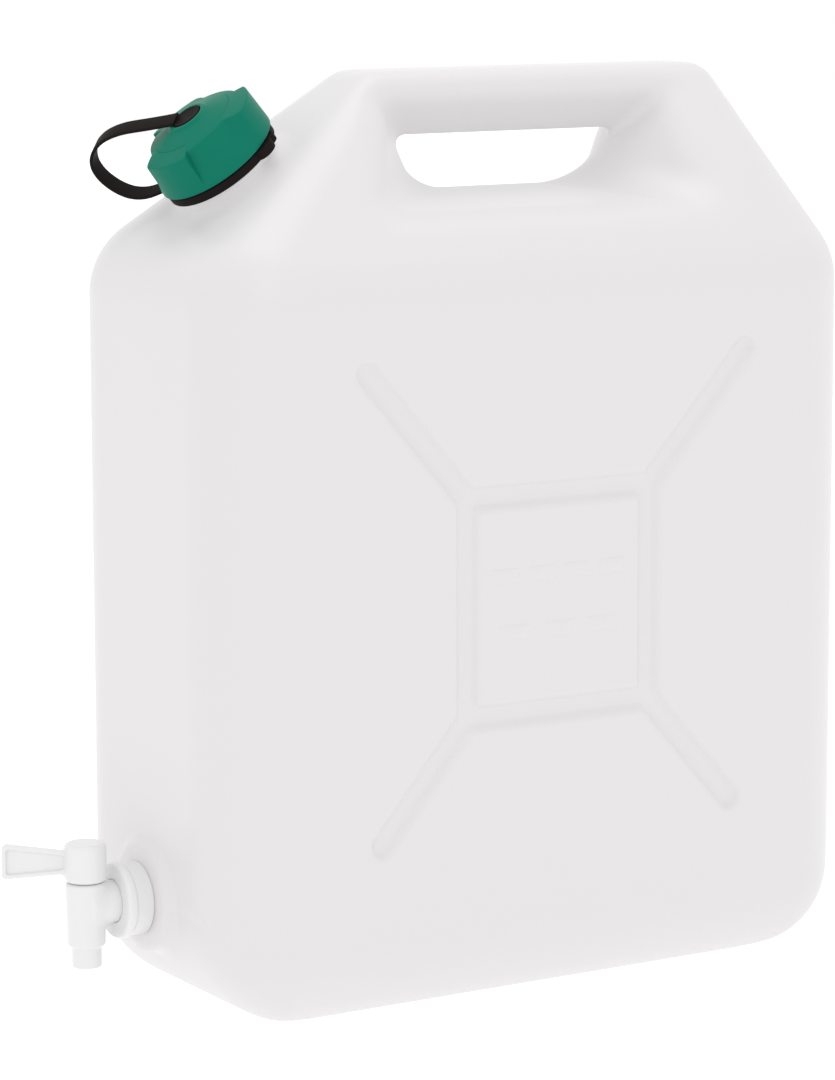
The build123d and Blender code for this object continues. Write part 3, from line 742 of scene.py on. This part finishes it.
def tap_key_field(p):
    """Plug with its port, rounded head and paddle lever with a rim round a thin web."""
    upright = np.hypot(p[:, 0] - BARREL_X, p[:, 1])
    head = round_disc(upright, p[:, 2], HEAD_R, HEAD_LOW, HEAD_HIGH, 2.4)
    plug = round_disc(upright, p[:, 2], PLUG_R, PLUG_LOW + 0.3, HEAD_LOW + 3, 0.3)
    down = round_disc(upright, p[:, 2], PORT_R, PLUG_LOW - 4, TAP_Z + PORT_R, 0.3)
    side = np.hypot(p[:, 0] - BARREL_X, p[:, 2] - TAP_Z) - PORT_R
    side = np.maximum(side, np.maximum(p[:, 1], -p[:, 1] - 2 * PLUG_R))
    plug = np.maximum(plug, -np.minimum(down, side))
    u = (p[:, 0] - BARREL_X) * math.cos(LEVER_ANGLE) + p[:, 1] * math.sin(LEVER_ANGLE)
    v = p[:, 1] * math.cos(LEVER_ANGLE) - (p[:, 0] - BARREL_X) * math.sin(LEVER_ANGLE)
    half = (LEVER_H[0] + (LEVER_H[1] - LEVER_H[0]) * np.clip(u / LEVER_END, 0, 1)) / 2
    tall = np.abs(p[:, 2] - LEVER_Z) - half
    outline = round_corner(u - LEVER_END, tall, LEVER_CORNER)
    end_swell = LEVER_SWELL * smooth_step(u, LEVER_END - 5, LEVER_END - 1)
    thick = np.abs(v) - LEVER_T / 2 + LEVER_SWELL - end_swell
    lever = smooth_max(np.maximum(outline, -u), thick, LEVER_BLEND)
    pocket = round_corner(u - LEVER_END + LEVER_RIM, tall + LEVER_RIM, POCKET_CORNER)
    pocket = np.maximum(pocket, np.maximum(LEVER_WEB / 2 - np.abs(v), POCKET_START - u))
    lever = smooth_max(lever, -pocket, POCKET_BLEND)
    return np.minimum(smooth_min(head, lever, HEAD_BLEND), plug)


TAP_STEP = 0.5
TAP_SHARP = 50
BODY_SPAN = (-222, -16, 25), (-189, 16, 71)
KEY_SPAN = (-246, -13, 41), (-198, 26, 89)


def fine_object(name, field, low, high):
    """Smooth object from a field, with its sharp edges marked."""
    points, quads = field_surface(field, low, high, TAP_STEP)
    obj = mesh_object(name, points, quads)
    obj.data.set_sharp_from_angle(angle=math.radians(TAP_SHARP))
    return obj


# ---- materials -----------------------------------------------------------------------

GRAIN_DETAIL, GRAIN_DEPTH = 3, 0.0004     # depth in metres


def plastic(name, colour, roughness, shine=0.5, glow=0.0, grain=0.0, grain_scale=400):
    """Principled material with a fine surface grain; glow stands for light soaking through."""
    material = bpy.data.materials.new(name)
    material.use_nodes = True
    nodes, links = material.node_tree.nodes, material.node_tree.links
    shader = nodes["Principled BSDF"]
    shader.inputs["Base Color"].default_value = (*colour, 1)
    shader.inputs["Roughness"].default_value = roughness
    shader.inputs["Specular IOR Level"].default_value = shine
    shader.inputs["Emission Color"].default_value = (1.0, 1.0, 1.0, 1.0)
    shader.inputs["Emission Strength"].default_value = glow
    if grain:
        place = nodes.new("ShaderNodeTexCoord")
        noise = nodes.new("ShaderNodeTexNoise")
        bump = nodes.new("ShaderNodeBump")
        noise.inputs["Scale"].default_value = grain_scale
        noise.inputs["Detail"].default_value = GRAIN_DETAIL
        bump.inputs["Strength"].default_value = grain
        bump.inputs["Distance"].default_value = GRAIN_DEPTH
        links.new(place.outputs["Object"], noise.inputs["Vector"])
        links.new(noise.outputs["Fac"], bump.inputs["Height"])
        links.new(bump.outputs["Normal"], shader.inputs["Normal"])
    return material


CAN = plastic("milky_polyethylene", (0.481, 0.467, 0.475), 0.42, glow=0.213, grain=0.12,
              grain_scale=220)
GREEN = plastic("green_polypropylene", (0.003, 0.165, 0.107), 0.40, shine=0.07, grain=0.1,
                grain_scale=500)
BLACK = plastic("black_strap", (0.014, 0.011, 0.011), 0.5, shine=0.02, grain=0.15,
                grain_scale=700)
TAP_WHITE = plastic("white_tap", (0.66, 0.66, 0.66), 0.28, glow=0.07)
FOAM = plastic("pale_foam", (0.72, 0.72, 0.70), 0.85, grain=0.4, grain_scale=900)


def dress(obj, material):
    """Gives an object this one material."""
    obj.data.materials.clear()
    obj.data.materials.append(material)


# ---- pieces --------------------------------------------------------------------------

PIECES = (   # object, CAD node it replaces, body it rides on, material, slot
    (make_shell(), "can_body", "can", CAN, "can_plastic"),
    (make_cap(), "filler_cap", "cap", GREEN, "cap_plastic"),
    (make_cap_gasket(), "cap_gasket", "cap", FOAM, "gasket"),
    (make_collar(), "tether_collar", "can", BLACK, "tether"),
    (make_strap(), "tether_strap", None, BLACK, "tether"),
    (make_button(), "tether_button", "cap_carrier", BLACK, "tether"),
    (make_nut(), "tap_union_nut", "can", TAP_WHITE, "tap_plastic"),
    (fine_object("tap_housing", tap_body_field, *BODY_SPAN), "tap_body", "can", TAP_WHITE,
     "tap_plastic"),
    (fine_object("tap_handle", tap_key_field, *KEY_SPAN), "tap_key", "tap_plug", TAP_WHITE,
     "tap_plastic"),
)
for piece, node, body, material, slot in PIECES:
    dress(piece, material)
    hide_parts(node)
    if body:
        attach(piece, body)
    else:
        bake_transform(piece)
for material_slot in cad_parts["tap_gasket"].material_slots:
    material_slot.material = FOAM


# ---- floor, light and camera ---------------------------------------------------------

FLOOR_HALF, FLOOR_GREY, FLOOR_GLOW = 6.0, 0.35, 0.85
WORLD_GLOW = 1.0
MIDDLE = (0.0, 0.0, 0.22)                 # the point that the lights face
LIGHTS = (("key", (-0.9, -2.2, 1.9), 1.2, 6), ("rim", (-1.9, 0.9, 1.6), 0.9, 0.5),
          ("top", (0.1, 0.1, 2.4), 1.4, 10))   # (name, place, size, power)
AZIMUTH, ELEVATION, ROLL = map(math.radians, (-31.26, 9.21, -0.13))
CAMERA_DISTANCE, CAMERA_AIM = 1.950, Vector((-0.0220, 0.0117, 0.2114))
LENS, SENSOR = 133.6, 36.0


def make_floor():
    """Wide pale floor that glows a little, like a studio's white sweep."""
    size = FLOOR_HALF
    mesh = bpy.data.meshes.new("floor")
    mesh.from_pydata([(-size, -size, 0), (size, -size, 0), (size, size, 0), (-size, size, 0)],
                     [], [(0, 1, 2, 3)])
    floor = bpy.data.objects.new("floor", mesh)
    bpy.context.scene.collection.objects.link(floor)
    material = plastic("light_table", (FLOOR_GREY,) * 3, 0.9)
    shader = material.node_tree.nodes["Principled BSDF"]
    shader.inputs["Emission Color"].default_value = (1, 1, 1, 1)
    shader.inputs["Emission Strength"].default_value = FLOOR_GLOW
    dress(floor, material)


def area_light(name, place, size, power):
    """Square area light facing the object's middle."""
    data = bpy.data.lights.new(name, "AREA")
    data.shape, data.size, data.energy = "SQUARE", size, power
    light = bpy.data.objects.new(name, data)
    light.location = place
    light.rotation_euler = (Vector(MIDDLE) - Vector(place)).to_track_quat("-Z", "Y").to_euler()
    bpy.context.scene.collection.objects.link(light)


def make_camera():
    """Camera at the photograph's angle."""
    back = Vector((math.sin(AZIMUTH) * math.cos(ELEVATION),
                   -math.cos(AZIMUTH) * math.cos(ELEVATION), math.sin(ELEVATION)))
    right = Vector((0, 0, 1)).cross(back).normalized()
    up = back.cross(right)
    turn = Matrix((right, up, back)).transposed() @ Matrix.Rotation(ROLL, 3, "Z")
    data = bpy.data.cameras.new("camera")
    data.lens, data.sensor_width = LENS, SENSOR
    camera = bpy.data.objects.new("camera", data)
    place = CAMERA_AIM + CAMERA_DISTANCE * back
    camera.matrix_world = Matrix.Translation(place) @ turn.to_4x4()
    bpy.context.scene.collection.objects.link(camera)
    bpy.context.scene.camera = camera


make_floor()
world = bpy.data.worlds.new("studio")
world.use_nodes = True
world.node_tree.nodes["Background"].inputs["Color"].default_value = (1, 1, 1, 1)
world.node_tree.nodes["Background"].inputs["Strength"].default_value = WORLD_GLOW
bpy.context.scene.world = world
for light in LIGHTS:
    area_light(*light)
make_camera()
bpy.context.scene.view_settings.view_transform = "Standard"
